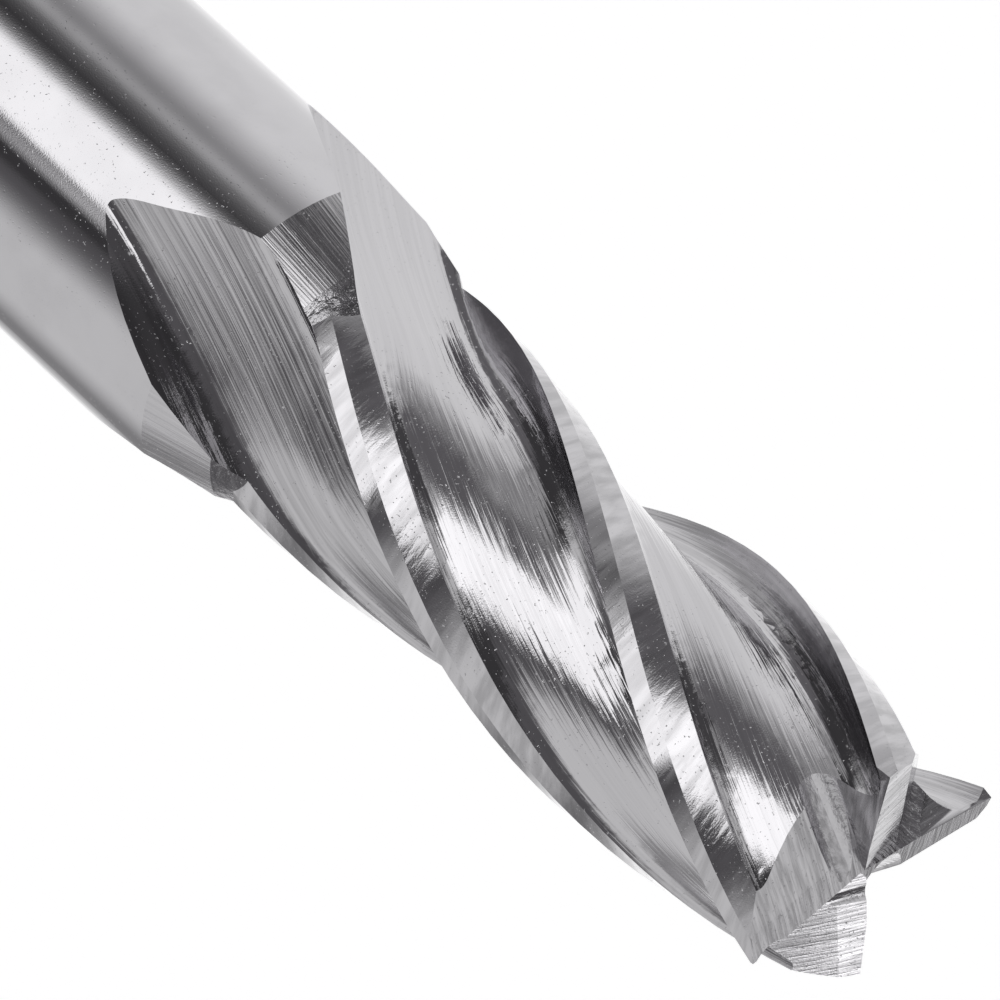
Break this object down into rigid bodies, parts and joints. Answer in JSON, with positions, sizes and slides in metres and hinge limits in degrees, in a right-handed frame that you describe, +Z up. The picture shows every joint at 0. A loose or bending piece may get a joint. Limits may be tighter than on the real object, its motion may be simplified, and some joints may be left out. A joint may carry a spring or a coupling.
{
  "type": "end mill",
  "caption": "Square end mill: ground steel shank, helical fluted cutting end with relieved lands, curved flute runouts and gashed centre-cutting end teeth.",
  "frame": {"origin": "centre of the flat shank end", "axes": "+Z up the tool's axis from the shank end to the cutting end; +X towards one cutting corner at the tip"},
  "size_m": [0.0096, 0.0096, 0.0635],
  "materials": {
    "ground_steel": "ground bright tool steel"
  },
  "bodies": {
    "root": {"end_mill": "ground_steel"}
  },
  "joints": []
}
